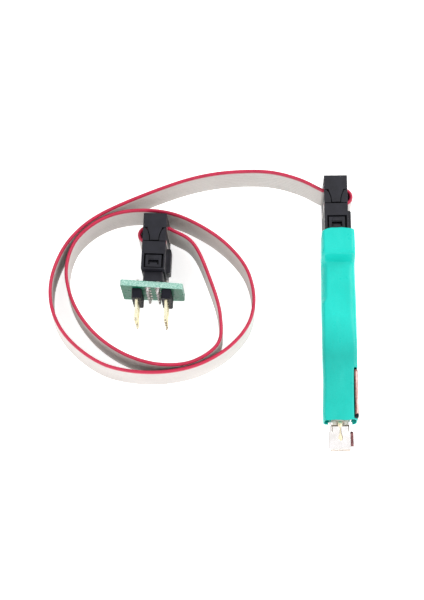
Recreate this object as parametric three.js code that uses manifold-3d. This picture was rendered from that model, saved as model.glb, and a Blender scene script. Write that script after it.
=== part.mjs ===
// A USB stick programmer for microcontrollers, with its ten-way ribbon cable and its target adapter.
// Units are millimetres and +Z is up. The stick lies along Y with its plug at -Y, and the ribbon
// stands on its edge. The origin is on the flat underside of the sleeve's head.

import * as THREE from "three";
import { mergeVertices } from "three/addons/utils/BufferGeometryUtils.js";
import Module from "manifold-3d";

const wasm = await Module();
wasm.setup();

// Driving dimensions.
const PITCH = 2.54;
const PIN_SIDE = 0.64;
const ROWS = 5;
const SEAT = 0.1; // clearance under a piece that is soldered or seated on another
const AXIS_Z = 9.4; // height of the stick's own axis

// Ribbon: ten conductors, 1.27 mm apart.
const RIBBON_WIDTH = 12.7;
const RIBBON_THICK = 0.9;

// Socket, a 2 x 5 crimped one. Its own frame has y = 0 at the top of the body, and z = 0 mid-height.
const SOCKET_WIDE = 6.0;
const SOCKET_TALL = 17.2;
const BODY_LONG = 7.4;
const LOWER_LAYER_Y = 0.6; // ribbon between the body and the cover
const UPPER_LAYER_Y = 4.3; // ribbon between the cover and the strain relief
const COVER_LOW = 1.2;
const COVER_HIGH = 3.7;
const FOLD_START = 2.1; // half the width of the cover's bridge, which the ribbon folds round
const RELIEF_LOW = 4.9;
const RELIEF_HIGH = 7.5;
const PARTING_Y = 3.6; // where the strain relief's ends meet the cover's
const CHEEK_Z = 6.7; // the cover's solid ends start at this distance from mid-height
const TONGUE_DEEP = 0.9;
const TONGUE_LONG = 4.5;
const KEY = { wide: 4.2, long: 6.6, proud: 1.1 };

// Sleeve of shrunk tube.
const SLEEVE_WIDE = 9.0;
const SLEEVE_X = 0.35; // its middle, beside the plug's axis
const SLEEVE_WALL = 0.4;
const SLEEVE_ROUND = 1.2;
const SLEEVE_LIP_Y = 3.1;
const SLEEVE_MOUTH_Y = -45.9;
const HEAD_END_Y = -3.3;
const BODY_START_Y = -6.2;
const HEAD_TALL = 2 * AXIS_Z;
const BODY_TALL = 9.2;
const MOUTH_TALL = 6.8;
const SLIT = { y: -38.9, long: 13.2, tall: 3.6, deep: 1.1 };

// Boards in the stick.
const HEADER_BASE_Y = -0.2;
const HEADER_BASE_THICK = 2.5;
const HEADER_BOARD = { wide: 7.2, tall: 16.4, thick: 1.0, y: -1.3 };
const MAIN_BOARD = { wide: 7.2, thick: 1.0, top: 8.9, front: -42.0, back: -1.6 };

// Plug.
const PLUG = { front: -53.2, headBack: -48.9, back: -42.6, wide: 6.45, neckWide: 5.7, tall: 3.0, wall: 0.3 };

const PLUG_CONTACTS = [-1.6, -0.8, 0, 0.8, 1.6];
const SPRING = { x: 0, y: -50.2 }; // middle of the latch spring's round end

// Adapter, in the frame of the target socket.
const BOARD_THICK = 1.6;
const ADAPTER = { wide: 15.9, low: -6.6, highLeft: 7.0, highRight: 4.9, shift: -0.3 }; // its top edge slants
const PIN_ROWS = { gap: 7.62, count: 4, long: 6.0 };
const TARGET = { x: -46.5, y: 0.4, z: 8.75 }; // middle of the target socket's top
const TARGET_TURN = THREE.MathUtils.degToRad(-3.2); // about Z
const TARGET_LEAN = THREE.MathUtils.degToRad(-2.5); // about the socket's own Y

// The free ribbon's middle line, from the programmer's socket to the target's.
const RIBBON_ROUTE = [
  [-3.3, 14.2, 9.4],
  [-9.0, 17.2, 9.3],
  [-16.5, 19.4, 9.1],
  [-25.5, 19.8, 8.6],
  [-34.5, 19.0, 7.6],
  [-43.5, 16.6, 6.9],
  [-60.5, 9.5, 6.5],
  [-66.3, 5.3, 6.5],
  [-70.4, 0.2, 6.5],
  [-73.4, -7.6, 6.5],
  [-73.5, -14.5, 6.5],
  [-71.2, -20.8, 6.5],
  [-66.8, -26.1, 6.5],
  [-60.0, -30.7, 6.5],
  [-52.0, -32.7, 6.5],
  [-43.0, -32.7, 6.5],
  [-35.0, -30.7, 6.5],
  [-27.5, -26.1, 6.5],
  [-22.8, -20.2, 6.5],
  [-21.4, -13.8, 6.5],
  [-23.0, -6.2, 6.5],
  [-27.0, -0.4, 6.5],
  [-33.0, 4.7, 6.5],
  [-42.0, 9.2, 6.5],
  [-51.0, 10.3, 6.5],
  [-58.0, 9.1, 6.5],
  [-63.8, 5.9, 6.5],
  [-67.7, 1.5, 6.5],
  [-69.6, -5.0, 6.5],
  [-68.8, -11.5, 6.5],
  [-66.2, -17.5, 6.5],
  [-61.3, -23.5, 6.5],
  [-54.0, -28.4, 6.5],
  [-45.5, -30.9, 6.6],
  [-37.2, -30.2, 6.7],
  [-30.7, -25.5, 7.0],
  [-30.1, -18.5, 7.5],
  [-32.6, -9.0, 8.2],
  [-37.2, 1.0, 8.6],
  [-42.9, 4.6, 8.6],
];

const FINISH = {
  sleeve: { color: 0x35d9c2, roughness: 0.35, metalness: 0 },
  blackPlastic: { color: 0x2c2c31, roughness: 0.6, metalness: 0 },
  ivoryPlastic: { color: 0xd9cfbd, roughness: 0.5, metalness: 0 },
  nickel: { color: 0xd8d6cf, roughness: 0.25, metalness: 1 },
  gold: { color: 0xe3c675, roughness: 0.3, metalness: 1 },
  copper: { color: 0xb4705c, roughness: 0.4, metalness: 1 },
  solder: { color: 0xc8c8c8, roughness: 0.4, metalness: 1 },
  board: { color: 0x3f9a76, roughness: 0.5, metalness: 0 },
  chip: { color: 0x1d1d20, roughness: 0.5, metalness: 0 },
  ceramic: { color: 0xb89a72, roughness: 0.6, metalness: 0 },
  ribbon: { color: 0xb7aeaa, roughness: 0.55, metalness: 0 },
};

// ---- solids ----

function solid(geometry) {
  const bare = geometry.index ? geometry.toNonIndexed() : geometry.clone();
  bare.deleteAttribute("normal");
  bare.deleteAttribute("uv");
  const merged = mergeVertices(bare, 1e-4);
  return new wasm.Manifold(
    new wasm.Mesh({
      numProp: 3,
      vertProperties: new Float32Array(merged.attributes.position.array),
      triVerts: new Uint32Array(merged.index.array),
    }),
  );
}

function geometryOf(body) {
  const made = body.getMesh();
  const places = new Float32Array(made.numVert * 3);
  for (let i = 0; i < made.numVert; i++) {
    places.set(made.vertProperties.subarray(i * made.numProp, i * made.numProp + 3), i * 3);
  }
  const geometry = new THREE.BufferGeometry();
  geometry.setAttribute("position", new THREE.BufferAttribute(places, 3));
  geometry.setIndex(new THREE.BufferAttribute(new Uint32Array(made.triVerts), 1));
  geometry.computeVertexNormals();
  return geometry;
}

const joined = (...geometries) => geometryOf(geometries.map(solid).reduce((a, b) => a.add(b)));

function cut(geometry, ...tools) {
  return geometryOf(tools.map(solid).reduce((body, tool) => body.subtract(tool), solid(geometry)));
}

// A box between two corners.
function block(x, y, z) {
  const geometry = new THREE.BoxGeometry(x[1] - x[0], y[1] - y[0], z[1] - z[0]);
  return geometry.translate((x[0] + x[1]) / 2, (y[0] + y[1]) / 2, (z[0] + z[1]) / 2);
}

const around = (middle, size) => [middle - size / 2, middle + size / 2];

// An outline in X and Y, extruded along Z between two heights.
function upright(outline, z) {
  const settings = { depth: z[1] - z[0], bevelEnabled: false, curveSegments: 6 };
  return new THREE.ExtrudeGeometry(outline, settings).translate(0, 0, z[0]);
}

// An outline in X and Z, extruded along Y between two places.
function along(outline, y) {
  const settings = { depth: y[1] - y[0], bevelEnabled: false };
  return new THREE.ExtrudeGeometry(outline, settings).rotateX(Math.PI / 2).translate(0, y[1], 0);
}

// A rectangle with its four corners cut off, about a middle point.
function chamferedOutline(middle, wide, tall, chamfer) {
  const a = wide / 2;
  const b = tall / 2;
  const corners = [
    [a - chamfer, -b],
    [a, chamfer - b],
    [a, b - chamfer],
    [a - chamfer, b],
    [chamfer - a, b],
    [-a, b - chamfer],
    [-a, chamfer - b],
    [chamfer - a, -b],
  ];
  return new THREE.Shape(corners.map(([x, z]) => new THREE.Vector2(middle[0] + x, middle[1] + z)));
}

function roundHole(x, z, radius, y) {
  const hole = new THREE.CylinderGeometry(radius, radius, y[1] - y[0], 8);
  return hole.translate(x, (y[0] + y[1]) / 2, z);
}

function piece(name, geometry, finish) {
  const mesh = new THREE.Mesh(geometry, new THREE.MeshStandardMaterial(finish));
  mesh.name = name;
  return mesh;
}

// The ten places of a 2 x 5 header, from the top row down, about mid-height.
function headerPlaces() {
  const places = [];
  for (let row = 0; row < ROWS; row++) {
    for (const side of [-1, 1]) {
      places.push([(side * PITCH) / 2, ((ROWS - 1) / 2 - row) * PITCH]);
    }
  }
  return places;
}

// A square pin along Y with tapered ends.
function pin(x, z, y) {
  const tip = 0.4;
  const corner = PIN_SIDE / Math.SQRT2;
  const shank = block(around(x, PIN_SIDE), [y[0] + tip, y[1] - tip], around(z, PIN_SIDE));
  const taper = (top, bottom) => new THREE.CylinderGeometry(top, bottom, tip, 4, 1, false, Math.PI / 4);
  const high = taper(corner / 2, corner).translate(x, y[1] - tip / 2, z);
  const low = taper(corner, corner / 2).translate(x, y[0] + tip / 2, z);
  return joined(shank, high, low);
}

// ---- crimped socket ----

function socketBody() {
  const shell = block(around(0, SOCKET_WIDE), [-BODY_LONG, 0], around(0, SOCKET_TALL));
  const side = SOCKET_WIDE / 2;
  const key = block([side - 0.2, side + KEY.proud], [-KEY.long, 0], around(0, KEY.wide));
  const holeY = [-BODY_LONG - 1, -0.8];
  const holes = headerPlaces().map(([x, z]) => block(around(x, 1.0), holeY, around(z, 1.0)));
  const ends = [-SOCKET_TALL / 2, SOCKET_TALL / 2];
  const windows = ends.map((end) => block([-2.3, 2.6], [-7.0, -3.4], around(end, 1.2)));
  return cut(joined(shell, key), ...holes, ...windows);
}

// The cover's bridge stops short of its cheeks' width on the fold's side.
function socketCover(foldSide) {
  const cheeks = [-1, 1].map((end) => {
    const middle = end * (CHEEK_Z + SOCKET_TALL / 2) / 2;
    const tall = SOCKET_TALL / 2 - CHEEK_Z;
    return block(around(0, SOCKET_WIDE), [0.15, PARTING_Y], around(middle, tall));
  });
  const bridgeX = [foldSide * FOLD_START, -foldSide * SOCKET_WIDE / 2].sort((a, b) => a - b);
  const bridge = block(bridgeX, [COVER_LOW, COVER_HIGH], around(0, 2 * CHEEK_Z + 0.4));
  const recesses = [-1, 1].map((sign) => {
    const outline = tongueOutline(0.3, RELIEF_LOW + 1);
    const end = sign * (SOCKET_TALL / 2 + 1);
    const inner = sign * (SOCKET_TALL / 2 - TONGUE_DEEP - 0.2);
    return upright(outline, [Math.min(end, inner), Math.max(end, inner)]);
  });
  return cut(joined(...cheeks, bridge), ...recesses);
}

// The strain relief's tongue narrows away from the bar.
function tongueOutline(grow, top) {
  const low = RELIEF_LOW - TONGUE_LONG - grow;
  const wide = 1.9 + grow;
  const narrow = 1.15 + grow;
  const points = [
    [-narrow, low],
    [narrow, low],
    [narrow + 0.2, low + 1.8],
    [wide, PARTING_Y - 0.2],
    [wide, top],
    [-wide, top],
    [-wide, PARTING_Y - 0.2],
    [-narrow - 0.2, low + 1.8],
  ];
  return new THREE.Shape(points.map(([x, y]) => new THREE.Vector2(x, y)));
}

function strainRelief() {
  const bar = block(around(0, SOCKET_WIDE), [RELIEF_LOW, RELIEF_HIGH], around(0, SOCKET_TALL));
  const tongues = [-1, 1].map((side) => {
    const end = (side * SOCKET_TALL) / 2;
    const inner = side * (SOCKET_TALL / 2 - TONGUE_DEEP);
    return upright(tongueOutline(0, RELIEF_LOW + 0.5), [Math.min(end, inner), Math.max(end, inner)]);
  });
  const ends = [-1, 1].map((side) => {
    const reach = [CHEEK_Z + 0.3, SOCKET_TALL / 2];
    const z = side > 0 ? reach : [-reach[1], -reach[0]];
    return block(around(0, SOCKET_WIDE), [PARTING_Y + 0.15, RELIEF_LOW + 0.1], z);
  });
  return joined(bar, ...tongues, ...ends);
}

// The ribbon lies under the cover, folds round it and comes back over it. side is the fold's side.
function ribbonFold(side) {
  const start = SOCKET_WIDE / 2;
  const middleY = (LOWER_LAYER_Y + UPPER_LAYER_Y) / 2;
  const radius = (UPPER_LAYER_Y - LOWER_LAYER_Y) / 2;
  const bend = FOLD_START + SEAT;
  const outline = new THREE.Shape();
  outline.moveTo(-start, LOWER_LAYER_Y - RIBBON_THICK / 2);
  outline.lineTo(bend, LOWER_LAYER_Y - RIBBON_THICK / 2);
  outline.absarc(bend, middleY, radius + RIBBON_THICK / 2, -Math.PI / 2, Math.PI / 2, false);
  outline.lineTo(-start, UPPER_LAYER_Y + RIBBON_THICK / 2);
  outline.lineTo(-start, UPPER_LAYER_Y - RIBBON_THICK / 2);
  outline.lineTo(bend, UPPER_LAYER_Y - RIBBON_THICK / 2);
  outline.absarc(bend, middleY, radius - RIBBON_THICK / 2, Math.PI / 2, -Math.PI / 2, true);
  outline.lineTo(-start, LOWER_LAYER_Y + RIBBON_THICK / 2);
  outline.closePath();
  const geometry = upright(outline, around(0, RIBBON_WIDTH));
  return side > 0 ? geometry : geometry.rotateY(Math.PI);
}

function socket(name, foldSide) {
  const group = new THREE.Group();
  group.add(
    piece(`${name}_socket_body`, socketBody(), FINISH.blackPlastic),
    piece(`${name}_socket_cover`, socketCover(foldSide), FINISH.blackPlastic),
    piece(`${name}_strain_relief`, strainRelief(), FINISH.blackPlastic),
    piece(`ribbon_fold_${name}`, ribbonFold(foldSide), FINISH.ribbon),
  );
  return group;
}

// ---- ribbon ----

function ribbonCable() {
  const points = RIBBON_ROUTE.map((p) => new THREE.Vector3(...p));
  const route = new THREE.CatmullRomCurve3(points, false, "centripetal");
  const section = chamferedOutline([0, 0], RIBBON_WIDTH, RIBBON_THICK, 0.25);
  return new THREE.ExtrudeGeometry(section, { steps: 80, bevelEnabled: false, extrudePath: route });
}

// ---- stick ----

// The sleeve's side outline, in Y and Z, grown outwards by a distance.
function sleeveSide(grow) {
  const half = HEAD_TALL / 2 + grow;
  const bodyHalf = BODY_TALL / 2 + grow;
  const mouthHalf = MOUTH_TALL / 2 + grow;
  const past = 6; // it runs on past both open ends
  const bendNear = HEAD_END_Y - 1.6;
  const bendFar = HEAD_END_Y - 1;
  const side = new THREE.Shape();
  side.moveTo(SLEEVE_LIP_Y + past, AXIS_Z - half);
  side.lineTo(SLEEVE_LIP_Y + past, AXIS_Z + half);
  side.lineTo(HEAD_END_Y - grow, AXIS_Z + half);
  side.bezierCurveTo(bendNear, AXIS_Z + half, bendFar, AXIS_Z + bodyHalf, BODY_START_Y, AXIS_Z + bodyHalf);
  side.lineTo(SLEEVE_MOUTH_Y, AXIS_Z + mouthHalf);
  side.lineTo(SLEEVE_MOUTH_Y - past, AXIS_Z + mouthHalf);
  side.lineTo(SLEEVE_MOUTH_Y - past, AXIS_Z - mouthHalf);
  side.lineTo(SLEEVE_MOUTH_Y, AXIS_Z - mouthHalf);
  side.lineTo(BODY_START_Y, AXIS_Z - bodyHalf);
  side.bezierCurveTo(bendFar, AXIS_Z - bodyHalf, bendNear, AXIS_Z - half, HEAD_END_Y - grow, AXIS_Z - half);
  side.closePath();
  return side;
}

// That outline extruded across X, with rounded edges.
function sleeveForm(grow) {
  const round = SLEEVE_ROUND + grow;
  const across = SLEEVE_WIDE + 2 * grow;
  const geometry = new THREE.ExtrudeGeometry(sleeveSide(grow), {
    depth: across - 2 * round,
    curveSegments: 5,
    bevelThickness: round,
    bevelSize: round,
    bevelOffset: -round,
    bevelSegments: 4,
  });
  geometry.translate(0, 0, SLEEVE_X + round - across / 2);
  return geometry.applyMatrix4(new THREE.Matrix4().makeBasis(
    new THREE.Vector3(0, 1, 0),
    new THREE.Vector3(0, 0, 1),
    new THREE.Vector3(1, 0, 0),
  ));
}

function heatShrinkSleeve() {
  const ends = block(around(0, 2 * SLEEVE_WIDE), [SLEEVE_MOUTH_Y, SLEEVE_LIP_Y], [-5, 3 * AXIS_Z]);
  const slitX = [SLEEVE_X + SLEEVE_WIDE / 2 - SLIT.deep, SLEEVE_WIDE];
  const slitZ = [MAIN_BOARD.top - MAIN_BOARD.thick - 0.3, AXIS_Z + SLIT.tall];
  const slit = block(slitX, around(SLIT.y, SLIT.long), slitZ);
  const tube = solid(sleeveForm(0)).intersect(solid(ends)).subtract(solid(sleeveForm(-SLEEVE_WALL)));
  return geometryOf(tube.subtract(solid(slit)));
}

function headerBase() {
  const holes = headerPlaces().map(([x, z]) => block(around(x, 0.9), [-9, 9], around(z, 0.9)));
  return cut(block(around(0, 2 * PITCH), [0, HEADER_BASE_THICK], around(0, ROWS * PITCH)), ...holes);
}

function headerBoard() {
  const { wide, tall, thick, y } = HEADER_BOARD;
  const holes = headerPlaces().map(([x, z]) => roundHole(x, z, 0.6, [y - 1, y + thick + 1]));
  return cut(block(around(0, wide), [y, y + thick], around(0, tall)), ...holes);
}

function mainBoard() {
  const { wide, thick, top, front, back } = MAIN_BOARD;
  return block(around(0, wide), [front, back], [top - thick, top]);
}

// A small part soldered on the main board; face is 1 on top of it and -1 below.
function onBoard(wide, long, tall, x, y, face) {
  const level = face > 0 ? MAIN_BOARD.top + SEAT : MAIN_BOARD.top - MAIN_BOARD.thick - SEAT;
  const z = face > 0 ? [level, level + tall] : [level - tall, level];
  return block(around(x, wide), around(y, long), z);
}

function microcontroller(y) {
  const body = onBoard(4.4, 6.5, 1.3, 0, y, -1);
  const legs = [];
  for (let i = 0; i < 10; i++) {
    legs.push(onBoard(6.4, 0.3, 0.25, 0, y + (i - 4.5) * 0.65, -1));
  }
  return joined(body, ...legs);
}

function crystal(y) {
  const top = MAIN_BOARD.top + SEAT;
  const can = upright(chamferedOutline([0, y], 4.4, 10.6, 1.9), [top, top + 3.5]);
  const foot = upright(chamferedOutline([0, y], 4.9, 11.2, 2.1), [top, top + 0.5]);
  return joined(can, foot);
}

function electronics() {
  const group = new THREE.Group();
  const joint = (x) => block(around(x, 1.2), [-2.7, -1.4], [MAIN_BOARD.top + 0.05, MAIN_BOARD.top + 1.1]);
  group.add(
    piece("main_board", mainBoard(), FINISH.board),
    piece("joint_solder_left", joint(-2.6), FINISH.solder),
    piece("joint_solder_right", joint(2.6), FINISH.solder),
    piece("microcontroller", microcontroller(-20), FINISH.chip),
    piece("crystal", crystal(-15), FINISH.nickel),
    piece("voltage_regulator", onBoard(2.9, 1.6, 1.1, 0.4, -25, 1), FINISH.chip),
    piece("tantalum_capacitor", onBoard(1.8, 3.4, 1.7, -1.8, -29, 1), FINISH.ceramic),
    piece("decoupling_capacitor_1", onBoard(1.25, 2.0, 0.8, 2.2, -29, 1), FINISH.ceramic),
    piece("decoupling_capacitor_2", onBoard(1.25, 2.0, 0.8, 2.2, -27.5, -1), FINISH.ceramic),
    piece("data_resistor_1", onBoard(0.8, 1.6, 0.5, -0.9, -38.5, 1), FINISH.chip),
    piece("data_resistor_2", onBoard(0.8, 1.6, 0.5, 0.7, -38.5, 1), FINISH.chip),
    piece("status_led", onBoard(1.25, 2.0, 0.8, 0, -33.5, 1), FINISH.ivoryPlastic),
  );
  return group;
}

// The bare metal strip that edges the board, seen through the sleeve's slit.
function edgeStrip() {
  const inner = MAIN_BOARD.wide / 2 + SEAT;
  const outer = SLEEVE_X + SLEEVE_WIDE / 2 - 0.05;
  const bottom = MAIN_BOARD.top - MAIN_BOARD.thick;
  return block([inner, outer], around(SLIT.y, SLIT.long - 0.8), [bottom, AXIS_Z + SLIT.tall - 0.7]);
}

function plugOutline(y, wide, tall) {
  return along(chamferedOutline([0, AXIS_Z], wide, tall, 0.45), y);
}

function plugShell() {
  const { front, headBack, back, wide, neckWide, tall, wall } = PLUG;
  const head = plugOutline([front, headBack + 0.3], wide, tall);
  const outer = joined(head, plugOutline([headBack, back], neckWide, tall));
  const bore = plugOutline([front - 1, back + 1], neckWide - 2 * wall, tall - 2 * wall);
  const window = new THREE.Shape();
  window.absellipse(SPRING.x, SPRING.y, 0.75, 0.95, 0, 2 * Math.PI, false);
  const teardrop = upright(window, [AXIS_Z, AXIS_Z + tall]);
  const above = [AXIS_Z, AXIS_Z + tall];
  const slots = [-2.05, 0, 2.05].map((x) => block(around(x, 0.3), [-48.6 - (x === 0 ? 1 : 0), -46.9], above));
  const opening = block(around(0, 3.9), [-47.1, back + 1], above);
  const sideY = [front + 0.6, headBack + 0.2];
  const sideSlot = block([wide / 2 - 0.75, wide], sideY, [AXIS_Z - 0.7, AXIS_Z + tall]);
  return cut(outer, bore, teardrop, opening, sideSlot, ...slots);
}

function plugInsulator() {
  const { front, back, neckWide, tall, wall } = PLUG;
  const high = tall - 2 * wall - 0.2;
  const core = plugOutline([front + 0.5, back - 0.2], neckWide - 2 * wall - 0.2, high);
  const bedZ = [AXIS_Z + high / 2 - 0.7, AXIS_Z + high];
  const springBed = block(around(SPRING.x, 2.2), [front + 0.2, back - 3], bedZ);
  const groove = (x) => block(around(x, 0.5), [front - 1, back + 1], [AXIS_Z - 0.7, AXIS_Z - 0.3]);
  return cut(core, springBed, ...PLUG_CONTACTS.map(groove));
}

function plugContact(x) {
  return block(around(x, 0.36), [PLUG.front + 0.9, PLUG.back + 0.4], [AXIS_Z - 0.6, AXIS_Z - 0.4]);
}

// The gold latch spring under the shell's window, and the stem that carries it.
function plugSpring() {
  const top = AXIS_Z + PLUG.tall / 2 - PLUG.wall - 0.3;
  const bulb = new THREE.Shape();
  bulb.absellipse(SPRING.x, SPRING.y, 0.7, 0.9, 0, 2 * Math.PI, false);
  const stem = block(around(SPRING.x, 0.5), [SPRING.y, -46.2], [top - 0.15, top]);
  return joined(upright(bulb, [top - 0.15, top + 0.1]), stem);
}

function plugCollar() {
  const { neckWide, tall } = PLUG;
  const ring = plugOutline([-47.0, -46.2], neckWide + 0.8, tall + 0.8);
  return cut(ring, plugOutline([-48, -45], neckWide + 0.2, tall + 0.2));
}

function plugSideStrip() {
  const inner = PLUG.wide / 2 - 0.65;
  return block([inner, inner + 0.55], [PLUG.front + 0.7, PLUG.headBack + 0.1], [AXIS_Z - 0.5, AXIS_Z + 1.4]);
}

function usbPlug() {
  const group = new THREE.Group();
  group.add(
    piece("plug_shell", plugShell(), FINISH.nickel),
    piece("plug_insulator", plugInsulator(), FINISH.ivoryPlastic),
    piece("plug_spring", plugSpring(), FINISH.gold),
    piece("plug_collar", plugCollar(), FINISH.nickel),
    piece("plug_side_strip", plugSideStrip(), FINISH.copper),
  );
  PLUG_CONTACTS.forEach((x, i) => group.add(piece(`plug_contact_${i + 1}`, plugContact(x), FINISH.gold)));
  return group;
}

function programmerHeader() {
  const group = new THREE.Group();
  group.position.z = AXIS_Z;
  const base = piece("programmer_header_base", headerBase(), FINISH.blackPlastic);
  base.position.y = HEADER_BASE_Y;
  group.add(base, piece("header_board", headerBoard(), FINISH.board));
  headerPlaces().forEach(([x, z], i) => {
    group.add(piece(`programmer_pin_${i + 1}`, pin(x, z, [-2.6, 8.3]), FINISH.gold));
  });
  return group;
}

function stick() {
  const group = new THREE.Group();
  group.add(
    piece("heat_shrink_sleeve", heatShrinkSleeve(), FINISH.sleeve),
    piece("board_edge_strip", edgeStrip(), FINISH.copper),
    electronics(),
    usbPlug(),
    programmerHeader(),
  );
  return group;
}

// ---- target adapter, in the target socket's frame ----

function targetAdapter() {
  const group = new THREE.Group();
  const headerHigh = -BODY_LONG - SEAT;
  const boardHigh = headerHigh - 2.4 - SEAT;
  const boardLow = boardHigh - BOARD_THICK;
  const insulatorLow = boardLow - SEAT - 2.5;
  const { wide, shift, low, highLeft, highRight } = ADAPTER;

  const rowPlaces = [];
  for (let i = 0; i < PIN_ROWS.count; i++) {
    rowPlaces.push(((PIN_ROWS.count - 1) / 2 - i) * PITCH);
  }
  const rows = [["left", shift - PIN_ROWS.gap / 2], ["right", shift + PIN_ROWS.gap / 2]];

  const holes = headerPlaces().map(([x, z]) => roundHole(x, z, 0.6, [boardLow - 1, boardHigh + 1]));
  for (const [, x] of rows) {
    rowPlaces.forEach((z) => holes.push(roundHole(x, z, 0.6, [boardLow - 1, boardHigh + 1])));
  }
  const outline = new THREE.Shape([
    new THREE.Vector2(shift - wide / 2, low),
    new THREE.Vector2(shift + wide / 2, low),
    new THREE.Vector2(shift + wide / 2, highRight),
    new THREE.Vector2(shift - wide / 2, highLeft),
  ]);
  const board = cut(along(outline, [boardLow, boardHigh]), ...holes);

  const base = block(around(0, 2 * PITCH), [boardHigh + SEAT, headerHigh], around(0, ROWS * PITCH));
  const pins = headerPlaces().map(([x, z]) => pin(x, z, [boardLow - 1.5, headerHigh + PIN_ROWS.long]));
  group.add(piece("adapter_board", board, FINISH.board));
  group.add(piece("adapter_header", joined(base, ...pins), FINISH.blackPlastic));

  for (const [side, x] of rows) {
    const barZ = around(0, PIN_ROWS.count * PITCH);
    const bar = block(around(x, PITCH), [insulatorLow, insulatorLow + 2.5], barZ);
    const boreY = [insulatorLow - 1, insulatorLow + 4];
    const bores = rowPlaces.map((z) => block(around(x, 0.9), boreY, around(z, 0.9)));
    group.add(piece(`adapter_insulator_${side}`, cut(bar, ...bores), FINISH.blackPlastic));
    rowPlaces.forEach((z, i) => {
      const gold = pin(x, z, [insulatorLow - PIN_ROWS.long, boardHigh + 0.9]);
      group.add(piece(`adapter_pin_${side}_${i + 1}`, gold, FINISH.gold));
    });
  }
  return group;
}

// ---- assembly ----

const programmer = new THREE.Group();
programmer.add(stick());

const nearSocket = socket("programmer", 1);
nearSocket.position.set(0, 9.9, AXIS_Z);
programmer.add(nearSocket);

const farSocket = new THREE.Group();
farSocket.add(socket("target", -1), targetAdapter());
farSocket.position.set(TARGET.x, TARGET.y, TARGET.z);
farSocket.rotation.set(0, TARGET_LEAN, TARGET_TURN, "ZYX");
programmer.add(farSocket);

programmer.add(piece("ribbon_cable", ribbonCable(), FINISH.ribbon));

export default programmer;
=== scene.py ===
"""A USB stick programmer for microcontrollers, with its ribbon cable and its target adapter.

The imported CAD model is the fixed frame. The visible pieces are made around it, in millimetres in a
local frame each, and placed in metres. Pieces with a right shape keep their CAD mesh and get rounded
edges and a material.
"""

import math

import bmesh
import bpy
from mathutils import Matrix, Vector, noise


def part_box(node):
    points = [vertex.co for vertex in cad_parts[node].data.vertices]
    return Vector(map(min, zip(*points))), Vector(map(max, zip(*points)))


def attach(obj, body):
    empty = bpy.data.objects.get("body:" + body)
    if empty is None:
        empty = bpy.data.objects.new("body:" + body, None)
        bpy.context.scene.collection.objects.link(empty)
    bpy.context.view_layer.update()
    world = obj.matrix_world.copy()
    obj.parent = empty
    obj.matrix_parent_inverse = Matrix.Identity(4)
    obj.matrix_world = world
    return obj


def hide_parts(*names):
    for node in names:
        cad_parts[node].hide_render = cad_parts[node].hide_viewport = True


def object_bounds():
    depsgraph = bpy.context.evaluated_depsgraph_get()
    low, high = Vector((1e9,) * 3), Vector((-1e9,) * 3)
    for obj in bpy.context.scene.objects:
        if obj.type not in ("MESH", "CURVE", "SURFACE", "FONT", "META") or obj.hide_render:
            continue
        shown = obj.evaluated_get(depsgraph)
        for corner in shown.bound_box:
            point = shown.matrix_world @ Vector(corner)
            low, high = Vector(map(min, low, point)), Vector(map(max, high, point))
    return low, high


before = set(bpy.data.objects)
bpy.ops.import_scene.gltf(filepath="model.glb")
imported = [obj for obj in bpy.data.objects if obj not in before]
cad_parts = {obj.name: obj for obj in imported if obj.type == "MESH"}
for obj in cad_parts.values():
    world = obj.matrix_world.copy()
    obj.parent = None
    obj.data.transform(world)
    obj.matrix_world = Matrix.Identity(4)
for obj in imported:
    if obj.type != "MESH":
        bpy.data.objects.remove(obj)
cad_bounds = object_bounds()

MM = 0.001
PITCH = 2.54

# Camera: where it stands, how steeply it looks down, and how it is rolled.
CAMERA_AT = (-0.03217, -0.18412, 0.62552)
CAMERA_DOWN = math.radians(74.5)
CAMERA_ROLL = math.radians(0.65)
CAMERA_LENS = 148.8
SENSOR = 36

# Light: the floor is a softly lit table and the surround is white. A soft box is
# (where it is from the object's middle, its size, its power).
FLOOR_GLOW = 0.66
SURROUND = 0.9
SOFT_BOXES = {
    "key": ((0.38, 0.12, 0.42), 0.5, 2.2),
    "front": ((-0.32, -0.38, 0.3), 0.45, 0.9),
}

# Ribbon: ten conductors side by side, joined by thin webs.
CONDUCTORS = 10
CONDUCTOR_PITCH = 1.27
CONDUCTOR_RADIUS = 0.45
WEB_HALF = 0.1
LOBE_STEPS = 6
RIBBON_WIDTH = CONDUCTORS * CONDUCTOR_PITCH
RIBBON_STEP = 0.8
RIBBON_TUCK = 0.5  # how far its two ends run in under the strain reliefs

# Socket, in its own frame: y = 0 at the top of the body, z = 0 mid-height. A pair is a span, low to high.
SOCKET_HALF_WIDE = 3.0
SOCKET_HALF_TALL = 8.6
BODY_LONG = 7.4
LOWER_LAYER = 0.6
UPPER_LAYER = 4.3
RELIEF_LOW = 4.9
RELIEF_HIGH = 7.5
CHEEK = 6.7
PARTING = 3.6
FOLD_BEND = 2.2
TARGET_TURN = math.radians(-3.2)
TARGET_LEAN = math.radians(-2.5)
CONTACT_ROWS = 5
HOLE_WIDE = 1.0
MOUTH_WIDE = 1.5  # each hole opens out at the socket's face
MOUTH_DEEP = 0.35
KEY_Y = (-6.6, -0.1)
KEY_HIGH = 1.1
KEY_HALF_TALL = 2.1
WINDOW_X = (-2.35, 2.65)
WINDOW_Y = (-7.05, -3.3)
WINDOW_DEEP = 1.9
CATCH_X = (-1.95, 2.15)  # the cover's catch, seen in the window
CATCH_Y = (-6.85, -3.6)
CATCH_SUNK = 0.22
TONGUE_LONG = 4.6
TONGUE_HALF = (1.1, 1.85)  # at its end and at the bar
TONGUE_THICK = 0.95

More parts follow.
